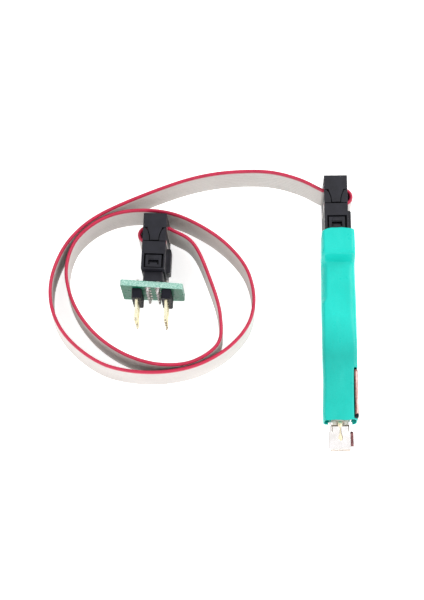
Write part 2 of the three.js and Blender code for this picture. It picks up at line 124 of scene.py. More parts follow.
# Sleeve: stations along the stick in Y, and heights from the stick's axis.
AXIS_Z = 9.4
SLEEVE_MOUTH = -45.9
SLEEVE_LIP = 3.1
SLEEVE_WALL = 0.4
SLEEVE_STEP = 0.4
SLEEVE_TAPER = 0.012  # how much narrower it gets with each millimetre below its axis
SLEEVE_PAINTED_SHADE = (-46.0, -19.0)  # where shade is painted into its colour, darkest towards the middle of this stretch
SLIT_Y = (-45.5, -32.3)
SLIT_LOW = -1.7
SLIT_COUNT = 11  # points of a section that the slit takes: its right side and its upper right corner
SHOULDER_STEEP = 1.7
SHOULDER_FLAT = 1.5

# Its sections from mouth to lip, as (y, value): half height above and below the axis, middle, half width,
# corner radius and left shoulder.
SLEEVE_TOP = [
    (-45.9, 2.95), (-44.6, 2.75), (-38, 2.9), (-32.5, 2.85), (-20.5, 4.45), (-12, 4.65),
    (-6.6, 4.75), (-5.1, 4.85), (-3.5, 9.1), (-2.4, 9.35), (3.1, 9.35),
]
SLEEVE_BOTTOM = [
    (-45.9, 2.95), (-43, 3.1), (-30, 3.8), (-25, 4.2), (-16, 4.3), (-9, 4.5),
    (-6.4, 4.7), (-5.1, 4.9), (-3.4, 9.3), (-2.8, 9.4), (3.1, 9.4),
]
SLEEVE_X = [(-45.9, 0.12), (-32, 0.35), (3.1, 0.35)]
SLEEVE_HALF = [
    (-45.9, 4.45), (-44, 4.5), (-36, 4.42), (-30, 4.5), (-16, 4.48),
    (-6, 4.35), (-2, 4.3), (1.5, 4.25), (3.1, 4.15),
]
SLEEVE_CORNER = [(-45.9, 1.0), (-30, 1.0), (-24, 1.2), (-21, 1.6), (-8, 1.7), (-4, 1.1), (3.1, 0.8)]
SLEEVE_SHOULDER = [
    (-45.9, 0.7), (-20, 0.8), (-15.5, 0.85), (-14, 1.45), (-6, 1.5), (-3.5, 0.8), (3.1, 0.6),
]

# Copper strip on edge in the sleeve's slit.
STRIP_X = (3.86, 4.74)
STRIP_Y = (-45.1, -32.7)
STRIP_Z = (8.0, 12.05)
# A raised ridge along the strip, coloured as a painted highlight.
RIDGE_X = (4.24, 4.52)
RIDGE_Y = (-44.2, -33.2)

# Plug: its shell's sizes, the slots and the opening in its top, and its latch spring.
PLUG = {"front": -53.2, "head": -48.9, "back": -42.6, "wide": 6.45, "neck": 5.7, "tall": 3.0, "wall": 0.3}
PLUG_CORNER = 0.8
SLOT_X = 2.08
SLOT_WIDE = 0.22
SLOT_Y = (-48.6, -46.9)
OPENING_WIDE = 4.6
OPENING_Y = -47.3
SPRING = (0.0, -50.2)
COLLAR_Y = (-47.0, -46.2)

# Target adapter, in the target socket's frame.
HEADER_TOP = -7.5
HEADER_LOW = -9.9
BOARD_TOP = -10.0
BOARD_LOW = -11.6
INSULATOR_TOP = -11.7
INSULATOR_LOW = -14.2
BOARD_MIDDLE = -0.3
BOARD_HALF_WIDE = 7.95
BOARD_FOOT = -6.6
BOARD_HEAD = (7.0, 4.9)  # its top edge slants from left to right
BOARD_CUT = 0.35  # how much its corners are cut back
ROW_GAP = 7.62
ROW_X = (BOARD_MIDDLE - ROW_GAP / 2, BOARD_MIDDLE + ROW_GAP / 2)
ROW_Z = [(1.5 - i) * PITCH for i in range(4)]
PIN_SIDE = 0.64
PIN_TIP = 0.45
PAD_RADIUS = 0.78
TAIL_JOINT = 0.56  # radius of the solder round the header's tails
ROW_JOINT = 0.8  # and round the two rows of pins
WORN_TIP = 1.4  # how far up a pin its wear shows

# The free ribbon's middle line, from the programmer's socket to the target's, in metres.
RIBBON_ROUTE = [
    (-0.0033, 0.0142, 0.0094),
    (-0.0090, 0.0172, 0.0093),
    (-0.0165, 0.0194, 0.0091),
    (-0.0255, 0.0198, 0.0086),
    (-0.0345, 0.0190, 0.0076),
    (-0.0435, 0.0166, 0.0069),
    (-0.0605, 0.0095, 0.0065),
    (-0.0663, 0.0053, 0.0065),
    (-0.0704, 0.0002, 0.0065),
    (-0.0734, -0.0076, 0.0065),
    (-0.0735, -0.0145, 0.0065),
    (-0.0712, -0.0208, 0.0065),
    (-0.0668, -0.0261, 0.0065),
    (-0.0600, -0.0307, 0.0065),
    (-0.0520, -0.0327, 0.0065),
    (-0.0430, -0.0327, 0.0065),
    (-0.0350, -0.0307, 0.0065),
    (-0.0275, -0.0261, 0.0065),
    (-0.0228, -0.0202, 0.0065),
    (-0.0214, -0.0138, 0.0065),
    (-0.0230, -0.0062, 0.0065),
    (-0.0270, -0.0004, 0.0065),
    (-0.0330, 0.0047, 0.0065),
    (-0.0420, 0.0092, 0.0065),
    (-0.0510, 0.0103, 0.0065),
    (-0.0580, 0.0091, 0.0065),
    (-0.0638, 0.0059, 0.0065),
    (-0.0677, 0.0015, 0.0065),
    (-0.0696, -0.0050, 0.0065),
    (-0.0688, -0.0115, 0.0065),
    (-0.0662, -0.0175, 0.0065),
    (-0.0613, -0.0235, 0.0065),
    (-0.0540, -0.0284, 0.0065),
    (-0.0455, -0.0309, 0.0066),
    (-0.0372, -0.0302, 0.0067),
    (-0.0307, -0.0255, 0.0070),
    (-0.0301, -0.0185, 0.0075),
    (-0.0326, -0.0090, 0.0082),
    (-0.0372, 0.0010, 0.0086),
    (-0.0429, 0.0046, 0.0086),
]


# ---- materials ----


class Surface:
    """A material with one Principled shader, and the nodes that its finish is mixed from."""

    def __init__(self, name, roughness, metallic=0.0, **sockets):
        self.material = bpy.data.materials.new(name)
        self.material.use_nodes = True
        self.nodes = self.material.node_tree.nodes
        self.links = self.material.node_tree.links
        self.shader = self.nodes["Principled BSDF"]
        self.shader.inputs["Roughness"].default_value = roughness
        self.shader.inputs["Metallic"].default_value = metallic
        for socket, value in sockets.items():
            self.shader.inputs[socket.replace("_", " ")].default_value = value
        self.place = self.nodes.new("ShaderNodeTexCoord").outputs["Object"]

    def feed(self, socket, value):
        self.links.new(value, self.shader.inputs[socket])

    def stretched(self, stretch):
        mapping = self.nodes.new("ShaderNodeMapping")
        mapping.inputs["Scale"].default_value = stretch
        self.links.new(self.place, mapping.inputs["Vector"])
        return mapping.outputs["Vector"]

    def noise(self, per_mm, detail=3.0, stretch=(1, 1, 1), rough=0.5):
        """Cloudy noise with so many features in a millimetre, drawn out along the small axes of stretch."""
        node = self.nodes.new("ShaderNodeTexNoise")
        node.inputs["Scale"].default_value = per_mm / MM
        node.inputs["Detail"].default_value = detail
        node.inputs["Roughness"].default_value = rough
        self.links.new(self.stretched(stretch), node.inputs["Vector"])
        return node.outputs["Fac"]

    def ramp(self, value, stops):
        """Colours or greys set out along a value, as (place, colour) pairs."""
        node = self.nodes.new("ShaderNodeValToRGB")
        elements = node.color_ramp.elements
        while len(elements) < len(stops):
            elements.new(0.5)
        for element, (place, colour) in zip(elements, stops):
            element.position = place
            element.color = (*colour, 1) if isinstance(colour, tuple) else (colour, colour, colour, 1)
        self.links.new(value, node.inputs["Fac"])
        return node.outputs["Color"]

    def blend(self, factor, first, second, kind="MIX"):
        node = self.nodes.new("ShaderNodeMix")
        node.data_type = "RGBA"
        node.blend_type = kind
        for socket, value in ((node.inputs[0], factor), (node.inputs[6], first), (node.inputs[7], second)):
            if isinstance(value, (tuple, float, int)):
                socket.default_value = (*value, 1) if isinstance(value, tuple) else value
            else:
                self.links.new(value, socket)
        return node.outputs[2]

    def along(self, axis, low, high):
        """0 to 1 between two places on an axis of the frame, in metres."""
        split = self.nodes.new("ShaderNodeSeparateXYZ")
        self.links.new(self.place, split.inputs[0])
        node = self.nodes.new("ShaderNodeMapRange")
        node.inputs["From Min"].default_value = low
        node.inputs["From Max"].default_value = high
        self.links.new(split.outputs[axis], node.inputs["Value"])
        return node.outputs["Result"]

    def vary_colour(self, per_mm, detail, dark, light):
        self.feed("Base Color", self.ramp(self.noise(per_mm, detail), [(0.3, dark), (0.7, light)]))

    def vary_roughness(self, per_mm, low, high):
        self.feed("Roughness", self.ramp(self.noise(per_mm), [(0.3, low), (0.7, high)]))

    def relief(self, *layers):
        """Bumps on bumps: each layer is (height socket, how deep in mm)."""
        under = None
        for height, deep in layers:
            node = self.nodes.new("ShaderNodeBump")
            node.inputs["Distance"].default_value = deep * MM
            node.inputs["Strength"].default_value = 1.0
            self.links.new(height, node.inputs["Height"])
            if under is not None:
                self.links.new(under, node.inputs["Normal"])
            under = node.outputs["Normal"]
        self.feed("Normal", under)


def sleeve_teal():
    s = Surface("sleeve_teal", 0.32, Specular_IOR_Level=0.22, Coat_Weight=0.06, Coat_Roughness=0.12)
    cloudy = s.noise(0.12, 3, (1, 0.6, 1))
    body = s.ramp(cloudy, [(0.3, (0.004, 0.51, 0.43)), (0.7, (0.012, 0.60, 0.515))])
    fine = s.ramp(s.noise(3.0, 4), [(0.35, 0.94), (0.65, 1.0)])
    # Painted shade: the colour is multiplied darker along this stretch of the stick, most near y = -29 mm.
    dull = s.ramp(s.along("Y", SLEEVE_PAINTED_SHADE[0] * MM, SLEEVE_PAINTED_SHADE[1] * MM), [
        (0.0, 0.88),
        (0.4, 0.80),
        (0.62, 0.70),
        (1.0, 1.0),
    ])
    s.feed("Base Color", s.blend(1.0, s.blend(1.0, body, fine, "MULTIPLY"), dull, "MULTIPLY"))
    s.vary_roughness(0.5, 0.27, 0.42)
    drawn = s.noise(1.1, 3, (1, 0.12, 1))
    s.relief((s.noise(0.22, 2), 0.10), (drawn, 0.02), (s.noise(7.0, 2), 0.005))
    return s.material


def moulded_black(name="connector_black", shine=0.28):
    s = Surface(name, 0.45, Specular_IOR_Level=shine)
    cloudy = s.ramp(s.noise(0.4, 4), [(0.3, (0.009, 0.009, 0.013)), (0.7, (0.016, 0.016, 0.023))])
    dust = s.ramp(s.noise(3.5, 5, rough=0.7), [(0.66, 0.0), (0.74, 1.0)])
    faint = s.blend(1.0, dust, (0.3, 0.3, 0.3), "MULTIPLY")
    s.feed("Base Color", s.blend(faint, cloudy, (0.20, 0.19, 0.19)))
    s.vary_roughness(1.2, 0.38, 0.55)
    s.relief((s.noise(6.0, 3), 0.012), (s.noise(0.7, 2), 0.03))
    return s.material


def ribbon_grey():
    s = Surface("ribbon_grey", 0.45, Specular_IOR_Level=0.4)
    cloudy = s.ramp(s.noise(0.08, 3), [(0.3, (0.58, 0.535, 0.51)), (0.7, (0.65, 0.61, 0.585))])
    grain = s.ramp(s.noise(2.6, 4), [(0.3, 0.92), (0.7, 1.0)])
    s.feed("Base Color", s.blend(1.0, cloudy, grain, "MULTIPLY"))
    s.vary_roughness(0.9, 0.4, 0.55)
    s.relief((s.noise(5.0, 3), 0.008))
    return s.material


def ribbon_red():
    s = Surface("ribbon_red", 0.42, Specular_IOR_Level=0.4)
    ink = s.ramp(s.noise(0.35, 4), [(0.3, (0.43, 0.012, 0.050)), (0.7, (0.54, 0.020, 0.070))])
    thin = s.ramp(s.noise(3.2, 4, rough=0.65), [(0.62, 0.0), (0.74, 0.35)])
    s.feed("Base Color", s.blend(thin, ink, (0.50, 0.22, 0.25)))
    s.vary_roughness(0.9, 0.36, 0.5)
    s.relief((s.noise(5.0, 3), 0.008))
    return s.material


def board_green():
    s = Surface("board_green", 0.35, Specular_IOR_Level=0.12)
    weave = s.noise(1.6, 2, (1, 0.2, 1))
    s.feed("Base Color", s.ramp(weave, [(0.3, (0.008, 0.13, 0.072)), (0.7, (0.022, 0.20, 0.115))]))
    s.vary_roughness(1.0, 0.25, 0.4)
    s.relief((s.noise(2.2, 2), 0.012))
    return s.material


def board_edge():
    s = Surface("board_edge", 0.6, Specular_IOR_Level=0.35)
    fibres = s.ramp(s.noise(3.6, 5, (0.7, 1.6, 0.7), 0.7), [
        (0.34, (0.08, 0.30, 0.22)),
        (0.5, (0.28, 0.50, 0.42)),
        (0.66, (0.60, 0.76, 0.70)),
    ])
    s.feed("Base Color", fibres)
    s.vary_roughness(2.0, 0.5, 0.8)
    s.relief((s.noise(4.5, 4), 0.05))
    return s.material


def pin_gold(name="pin_gold", tip=None, dull=(0.92, 0.74, 0.40), bright=(1.0, 0.90, 0.60)):
    """Gold flash. tip is where the pins are worn, as (their end, where the wear stops) on the Y axis."""
    s = Surface(name, 0.25, 0.9)
    gold = s.ramp(s.noise(0.9, 3), [(0.3, dull), (0.7, bright)])
    if tip is None:
        s.feed("Base Color", gold)
    else:
        worn = s.ramp(s.along("Y", *tip), [(0.0, 1.0), (1.0, 0.0)])
        spots = s.ramp(s.noise(2.4, 4, rough=0.6), [(0.45, 0.0), (0.56, 1.0)])
        s.feed("Base Color", s.blend(s.blend(1.0, worn, spots, "MULTIPLY"), gold, (0.16, 0.09, 0.06)))
    s.vary_roughness(1.5, 0.2, 0.36)
    s.relief((s.noise(2.4, 3, (1, 0.15, 1)), 0.01))
    return s.material


def plug_nickel():
    s = Surface("plug_nickel", 0.24, 1.0)
    s.vary_colour(0.5, 3, (0.90, 0.86, 0.83), (0.96, 0.93, 0.93))
    s.vary_roughness(0.6, 0.2, 0.3)
    s.relief((s.noise(3.0, 3, (1, 0.08, 1)), 0.004))
    return s.material


def plug_ivory():
    s = Surface("plug_ivory", 0.45, Specular_IOR_Level=0.5)
    s.vary_colour(0.8, 3, (0.72, 0.66, 0.58), (0.84, 0.78, 0.70))
    s.vary_roughness(1.6, 0.38, 0.55)
    s.relief((s.noise(4.0, 3), 0.01))
    return s.material


def edge_copper(name="edge_copper", dark=(0.16, 0.06, 0.055), light=(0.50, 0.27, 0.24)):
    s = Surface(name, 0.35, 0.85)
    tarnish = s.ramp(s.noise(1.1, 5, rough=0.6), [(0.35, dark), (0.65, light)])
    s.feed("Base Color", tarnish)
    s.vary_roughness(2.0, 0.28, 0.5)
    s.relief((s.noise(2.2, 4), 0.03))
    return s.material


def solder_tin():
    s = Surface("solder_tin", 0.35, 1.0)
    s.feed("Base Color", s.ramp(s.noise(2.0, 4), [(0.35, (0.26, 0.21, 0.21)), (0.65, (0.92, 0.87, 0.86))]))
    s.vary_roughness(2.6, 0.25, 0.5)
    s.relief((s.noise(2.6, 4), 0.05))
    return s.material


def chip_black():
    s = Surface("chip_black", 0.5, Specular_IOR_Level=0.4)
    s.vary_colour(2.0, 4, (0.012, 0.012, 0.013), (0.026, 0.026, 0.028))
    s.vary_roughness(3.0, 0.42, 0.62)
    s.relief((s.noise(8.0, 3), 0.01))
    return s.material


def capacitor_tan():
    s = Surface("capacitor_tan", 0.5, Specular_IOR_Level=0.45)
    s.vary_colour(1.6, 4, (0.42, 0.27, 0.12), (0.60, 0.42, 0.22))
    s.vary_roughness(3.0, 0.4, 0.6)
    s.relief((s.noise(5.0, 3), 0.01))
    return s.material


def led_clear():
    s = Surface("led_clear", 0.2, Specular_IOR_Level=0.6, Coat_Weight=0.5)
    s.vary_colour(1.6, 3, (0.76, 0.74, 0.64), (0.88, 0.87, 0.80))
    s.vary_roughness(2.0, 0.15, 0.3)
    s.relief((s.noise(3.0, 2), 0.008))
    return s.material


def floor_pale():
    s = Surface("floor_pale", 0.7, Specular_IOR_Level=0.2)
    s.vary_colour(0.02, 3, (0.90, 0.90, 0.90), (0.93, 0.93, 0.93))
    s.shader.inputs["Emission Color"].default_value = (1, 1, 1, 1)
    s.shader.inputs["Emission Strength"].default_value = FLOOR_GLOW
    s.relief((s.noise(1.2, 3), 0.01))
    return s.material


# ---- mesh tools, in millimetres ----


def block(x, y, z):
    bm = bmesh.new()
    bmesh.ops.create_cube(bm, size=1.0)
    for vertex in bm.verts:
        vertex.co = [(a[0] + a[1]) / 2 + c * (a[1] - a[0]) for a, c in zip((x, y, z), vertex.co)]
    return bm


def around(middle, size):
    return (middle - size / 2, middle + size / 2)


def loft(rings):
    """Closed rings of points, skinned one to the next and capped at both ends."""
    bm = bmesh.new()
    loops = [[bm.verts.new(point) for point in ring] for ring in rings]
    for near, far in zip(loops, loops[1:]):
        for i in range(len(near)):
            k = (i + 1) % len(near)
            bm.faces.new((near[i], near[k], far[k], far[i]))
    bm.faces.new(loops[0][::-1])
    bm.faces.new(loops[-1])
    bmesh.ops.recalc_face_normals(bm, faces=bm.faces)
    return bm


def prism(outline, low, high, axis):
    """An outline in the two other axes, in their order, run along one axis."""
    place = "xyz".index(axis)
    return loft([[(*point[:place], level, *point[place:]) for point in outline] for level in (low, high)])


def together(parts):
    """Several closed forms that don't touch, as one."""
    joined = bmesh.new()
    for part in parts:
        mesh = bpy.data.meshes.new("part")
        part.to_mesh(mesh)
        part.free()
        joined.from_mesh(mesh)
        bpy.data.meshes.remove(mesh)
    return joined


def oval(middle, half, count):
    turn = 2 * math.pi / count
    return [(middle[0] + half[0] * math.cos(i * turn), middle[1] + half[1] * math.sin(i * turn))
            for i in range(count)]


def rounded_rectangle(middle, half, radius, steps):
    """An outline with round corners, anticlockwise from the right side's lower end."""
    points = []
    for corner, (sx, sy) in enumerate(((1, 1), (-1, 1), (-1, -1), (1, -1))):
        for i in range(steps + 1):
            angle = (corner + i / steps) * math.pi / 2
            points.append((
                middle[0] + sx * (half[0] - radius) + radius * math.cos(angle),
                middle[1] + sy * (half[1] - radius) + radius * math.sin(angle),
            ))
    return points


def temporary(bm):
    mesh = bpy.data.meshes.new("temporary")
    bm.to_mesh(mesh)
    bm.free()
    mesh.polygons.foreach_set("use_smooth", [True] * len(mesh.polygons))
    obj = bpy.data.objects.new("temporary", mesh)
    bpy.context.scene.collection.objects.link(obj)
    return obj


def applied(obj):
    """The object's mesh with its modifiers applied. The object goes."""
    bpy.context.view_layer.update()
    graph = bpy.context.evaluated_depsgraph_get()
    mesh = bpy.data.meshes.new_from_object(obj.evaluated_get(graph))
    bpy.data.objects.remove(obj)
    return mesh


def round_edges(obj, width):
    rounding = obj.modifiers.new("rounding", "BEVEL")
    rounding.width = width
    rounding.segments = 2
    rounding.limit_method = "ANGLE"
    rounding.angle_limit = math.radians(35)
    rounding.use_clamp_overlap = False
    normals = obj.modifiers.new("normals", "WEIGHTED_NORMAL")
    normals.keep_sharp = True


def shaped(base, steps=(), bevel=0.1):
    """base with forms joined on, cut away or intersected in order, its sharp edges rounded."""
    main = temporary(base)
    helpers = []
    for operation, form in steps:
        helper = temporary(form)
        modifier = main.modifiers.new("boolean", "BOOLEAN")
        modifier.operation = operation
        modifier.solver = "EXACT"
        modifier.object = helper
        helpers.append(helper)
    if bevel:
        round_edges(main, bevel)
    mesh = applied(main)
    for helper in helpers:
        bpy.data.objects.remove(helper)
    return mesh


def piece(name, mesh, place, body, materials, replaced=()):
    """Puts a mesh made in millimetres where its local frame is, hangs it on its body, and hides the CAD parts
    that it replaces.
    """
    mesh.name = name
    mesh.transform(place @ Matrix.Scale(MM, 4))
    for material in materials:
        mesh.materials.append(material)
    obj = bpy.data.objects.new(name, mesh)
    bpy.context.scene.collection.objects.link(obj)
    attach(obj, body)
    if replaced:
        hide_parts(*replaced)
    return obj


def dress(node, material, bevel):
    """A CAD node keeps its own mesh and gets a material and rounded edges."""
    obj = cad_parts[node]
    for slot in obj.material_slots:
        slot.material = material
    round_edges(obj, bevel * MM)


# ---- ribbon ----


def ribbon_section():
    """(across, through, conductor) round one section, its marked edge at the end of across."""
    side = []
    for lobe in range(CONDUCTORS):
        middle = (lobe - (CONDUCTORS - 1) / 2) * CONDUCTOR_PITCH
        for step in range(LOBE_STEPS):
            angle = math.pi * step / LOBE_STEPS
            across = middle - math.cos(angle) * CONDUCTOR_PITCH / 2
            outer = (lobe == 0 and angle < math.pi / 2) or (lobe == CONDUCTORS - 1 and angle > math.pi / 2)
            low = 0.0 if outer else WEB_HALF
            through = low + (CONDUCTOR_RADIUS - low) * math.sin(angle)
            side.append((across, through, lobe))
    end = (RIBBON_WIDTH / 2, 0.0, CONDUCTORS - 1)
    back = [(across, -through, lobe) for across, through, lobe in side[:0:-1]]
    return side + [end] + back


def sweep(rings):
    """Ribbon sections lofted through rings, each (middle, across, through), in mm.

    The marked conductor at one edge takes the second material.
    """
    section = ribbon_section()
    bm = bmesh.new()
    loops = []
    for middle, across, through in rings:
        loops.append([bm.verts.new(middle + across * a + through * t) for a, t, _ in section])
    count = len(section)
    for near, far in zip(loops, loops[1:]):
        for i in range(count):
            k = (i + 1) % count
            face = bm.faces.new((near[i], near[k], far[k], far[i]))
            face.smooth = True
            marked = min(section[i][0], section[k][0]) > RIBBON_WIDTH / 2 - CONDUCTOR_PITCH - 0.01
            face.material_index = 1 if marked else 0
    for loop in (loops[0][::-1], loops[-1]):
        bm.faces.new(loop)
    bmesh.ops.recalc_face_normals(bm, faces=bm.faces)
    mesh = bpy.data.meshes.new("ribbon")
    bm.to_mesh(mesh)
    bm.free()
    return mesh


def spline(points, step):
    """A centripetal Catmull-Rom line through points, at even steps, in the points' unit."""
    points = [Vector(p) for p in points]
    first = points[0] * 2 - points[1]
    last = points[-1] * 2 - points[-2]
    padded = [first] + points + [last]
    line = []
    fine = 24
    for p0, p1, p2, p3 in zip(padded, padded[1:], padded[2:], padded[3:]):
        t1 = (p1 - p0).length ** 0.5
        t2 = t1 + (p2 - p1).length ** 0.5
        t3 = t2 + (p3 - p2).length ** 0.5
        for i in range(fine):
            t = t1 + (t2 - t1) * i / fine
            a = p0.lerp(p1, t / t1)
            b = p1.lerp(p2, (t - t1) / (t2 - t1))
            c = p2.lerp(p3, (t - t2) / (t3 - t2))
            line.append(a.lerp(b, t / t2).lerp(b.lerp(c, (t - t1) / (t3 - t1)), (t - t1) / (t2 - t1)))
    line.append(points[-1])
    return evenly(line, step)


def evenly(line, step):
    lengths = [0.0]
    for a, b in zip(line, line[1:]):
        lengths.append(lengths[-1] + (b - a).length)
    count = round(lengths[-1] / step)
    even = []
    k = 0
    for i in range(count + 1):
        want = lengths[-1] * i / count
        while k < len(line) - 2 and lengths[k + 1] < want:
            k += 1
        share = (want - lengths[k]) / (lengths[k + 1] - lengths[k])
        even.append(line[k].lerp(line[k + 1], share))
    return even


def free_ribbon():
    """The cable between the sockets. It stands on its edge."""
    middles = [m / MM for m in spline(RIBBON_ROUTE, RIBBON_STEP * MM)]
    tuck = Vector((RIBBON_TUCK, 0, 0))
    middles = [middles[0] + tuck] + middles + [middles[-1] - tuck]
    rings = []
    for i, middle in enumerate(middles):
        ahead = (middles[min(i + 1, len(middles) - 1)] - middles[max(i - 1, 0)]).normalized()
        side = ahead.cross(Vector((0, 0, 1))).normalized()
        rings.append((middle, side.cross(ahead), side))
    ribbon = piece("ribbon", sweep(rings), Matrix(), "cable",
                   [RIBBON_GREY, RIBBON_RED], ["ribbon_cable"])
    return ribbon, [m * MM for m in middles]


def ribbon_fold(name, place, side):
    """Where the cable lies under the socket's cover, folds round it and comes back over it."""
    middle_y = (LOWER_LAYER + UPPER_LAYER) / 2
    radius = (UPPER_LAYER - LOWER_LAYER) / 2
    line = [Vector((-SOCKET_HALF_WIDE, LOWER_LAYER, 0)), Vector((FOLD_BEND, LOWER_LAYER, 0))]
    for i in range(1, 24):
        angle = math.pi * i / 24 - math.pi / 2
        line.append(Vector((FOLD_BEND + radius * math.cos(angle), middle_y + radius * math.sin(angle), 0)))
    line += [Vector((FOLD_BEND, UPPER_LAYER, 0)), Vector((-SOCKET_HALF_WIDE, UPPER_LAYER, 0))]
    line = [Vector((side * p.x, p.y, 0)) for p in evenly(line, 0.25)]
    rings = []
    for i, middle in enumerate(line):
        ahead = (line[min(i + 1, len(line) - 1)] - line[max(i - 1, 0)]).normalized()
        rings.append((middle, Vector((0, 0, 1)), ahead.cross(Vector((0, 0, 1)))))
    return piece(f"{name}_fold", sweep(rings), place, "cable",
                 [RIBBON_GREY, RIBBON_RED], [f"ribbon_fold_{name}"])


# ---- crimped sockets ----


def header_places():
    return [(side * PITCH / 2, ((CONTACT_ROWS - 1) / 2 - row) * PITCH)
            for row in range(CONTACT_ROWS) for side in (-1, 1)]


def span(a, b):
    return (min(a, b), max(a, b))


def key_outline():
    """The polarising key on the body's right side, with its outer corners cut."""
    root = SOCKET_HALF_WIDE - 0.3
    crest = SOCKET_HALF_WIDE + KEY_HIGH
    low, high = KEY_Y
    return [(root, low), (crest - 0.3, low), (crest, low + 0.3), (crest, high - 0.3), (crest - 0.25, high),
            (root, high)]


def socket_body_mesh():
    wide, tall = SOCKET_HALF_WIDE, SOCKET_HALF_TALL
    shell = block((-wide, wide), (-BODY_LONG, 0), (-tall, tall))
    holes = [block(around(x, HOLE_WIDE), (-BODY_LONG - 1, -0.8), around(z, HOLE_WIDE))
             for x, z in header_places()]
    mouths = [block(around(x, MOUTH_WIDE), (-BODY_LONG - 1, MOUTH_DEEP - BODY_LONG), around(z, MOUTH_WIDE))
              for x, z in header_places()]
    steps = [("UNION", prism(key_outline(), -KEY_HALF_TALL, KEY_HALF_TALL, "z"))]
    steps += [("DIFFERENCE", together(holes)), ("DIFFERENCE", together(mouths))]
    steps += window_steps(1) + window_steps(-1)
    return shaped(shell, steps, 0.09)


def window_steps(end):
    """The recess at one end, the cover's catch in it with its bump, and the slot in the catch."""

    def levels(deep, high):
        return span(end * (SOCKET_HALF_TALL - deep), end * (SOCKET_HALF_TALL - high))

    bump = [(-1.2, -4.75), (1.45, -4.75), (0.95, -3.8), (-0.7, -3.8)]
    slot = [(-1.3, -6.15), (-0.85, -6.15), (-0.8, -5.65), (1.0, -5.65), (1.05, -6.15), (1.5, -6.15),
            (1.4, -4.95), (-1.2, -4.95)]
    return [
        ("DIFFERENCE", block(WINDOW_X, WINDOW_Y, levels(WINDOW_DEEP, -1))),
        ("UNION", block(CATCH_X, CATCH_Y, levels(WINDOW_DEEP + 0.2, CATCH_SUNK))),
        ("UNION", prism(bump, *levels(0.5, 0.02), "z")),
        ("DIFFERENCE", prism(slot, *levels(1.6, -1), "z")),
    ]


def tongue(grow, top):
    """The strain relief's tongue narrows away from its bar. grow widens it for the room round it."""
    low = RELIEF_LOW - TONGUE_LONG - grow
    narrow, wide = (half + grow for half in TONGUE_HALF)
    left = [(-wide, top), (-wide, PARTING - 0.2), (-narrow - 0.3, low + 2.0), (-narrow - 0.1, low + 1.3),
            (-narrow, low)]
    right = [(-x, y) for x, y in reversed(left)]
    return right + left


def socket_cover_mesh(side):
    """Two cheeks joined by a bridge, which stops short of them on the fold's side."""
    wide, tall = SOCKET_HALF_WIDE, SOCKET_HALF_TALL
    bridge = block(span(side * 2.1, -side * (wide - 0.05)), (1.2, 3.65), (-CHEEK - 0.2, CHEEK + 0.2))
    steps = []
    for end in (1, -1):
        steps.append(("UNION", block((-wide, wide), (0.15, PARTING), span(end * CHEEK, end * tall))))
        deep = span(end * (tall - TONGUE_THICK - 0.2), end * (tall + 1))
        steps.append(("DIFFERENCE", prism(tongue(0.17, RELIEF_LOW + 1), *deep, "z")))
        notches = [prism([(sx * 1.8, 2.9), (sx * 2.7, PARTING + 0.2), (sx * 1.7, PARTING + 0.2)], *deep, "z")
                   for sx in (-1, 1)]
        steps.append(("DIFFERENCE", together(notches)))
    return shaped(bridge, steps, 0.07)


def strain_relief_mesh():
    """A bar over the folded cable, with a tongue and two hooks at each end, a grip and ribs."""
    wide, tall = SOCKET_HALF_WIDE, SOCKET_HALF_TALL
    bar = block((-wide, wide), (RELIEF_LOW, RELIEF_HIGH), (-tall, tall))
    steps = []
    for end in (1, -1):
        outer = span(end * (tall - TONGUE_THICK), end * tall)
        steps.append(("UNION", prism(tongue(0, RELIEF_LOW + 0.5), *outer, "z")))
        hook = block((-wide, wide), (PARTING + 0.13, RELIEF_LOW + 0.1), span(end * (CHEEK + 0.3), end * tall))
        steps.append(("UNION", hook))
    grip = block((-wide - 1, -wide + 0.16), (RELIEF_HIGH - 1.7, RELIEF_HIGH - 1.35), around(0, 12.0))
    ribs = [block((-1.9, 1.9), (RELIEF_HIGH - 0.22, RELIEF_HIGH + 1), around(i * 2.1, 1.5))
            for i in range(-3, 4)]
    steps += [("DIFFERENCE", grip), ("DIFFERENCE", together(ribs))]
    return shaped(bar, steps, 0.1)


def contact_forks():
    """Two spring blades in each hole."""
    blades = []
    for x, z in header_places():
        for side in (-1, 1):
            blades.append(block(around(x, 0.7), (-6.7, -1.1), around(z + side * 0.4, 0.12)))
    return shaped(together(blades), (), 0.03)


def socket(name, place, side):
    """The pieces of one crimped socket and the fold of its cable."""
    moulded = {
        "body": (socket_body_mesh(), "socket_body"),
        "cover": (socket_cover_mesh(side), "socket_cover"),
        "relief": (strain_relief_mesh(), "strain_relief"),
    }
    pieces = [piece(f"{name}_{part}", mesh, place, "cable", [CONNECTOR_BLACK],
                    [f"{name}_{node}"]) for part, (mesh, node) in moulded.items()]
    pieces.append(piece(f"{name}_contacts", contact_forks(), place, "cable", [PIN_GOLD]))
    pieces.append(ribbon_fold(name, place, side))
    return pieces


def local_place(node, turn=0.0, lean=0.0):
    """The frame of a socket, from its body's own corners: the middle of its width, its top, mid-height."""
    axes = Matrix.Rotation(turn, 3, "Z") @ Matrix.Rotation(lean, 3, "Y")
    inside = [axes.transposed() @ v.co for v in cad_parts[node].data.vertices]
    low = [min(p[i] for p in inside) for i in range(3)]
    high = [max(p[i] for p in inside) for i in range(3)]
    origin = Vector((low[0] + SOCKET_HALF_WIDE * MM, high[1], (low[2] + high[2]) / 2))
    return Matrix.Translation(axes @ origin) @ axes.to_4x4()


# ---- sleeve ----


def smooth_along(table, y):
    """A value between the stations of a table, eased at each."""
    if y <= table[0][0]:
        return table[0][1]
    for (y0, v0), (y1, v1) in zip(table, table[1:]):
        if y <= y1:
            t = (y - y0) / (y1 - y0)
            return v0 + (v1 - v0) * t * t * (3 - 2 * t)
    return table[-1][1]


def stretch_of(start, end, count):
    return [start.lerp(end, i / count) for i in range(count)]


def corner_arc(middle, radius, start, count):
    """A quarter turn, from an angle given in quarter turns."""
    turns = [(start + i / count) * math.pi / 2 for i in range(count)]
    return [middle + radius * Vector((math.cos(a), math.sin(a))) for a in turns]


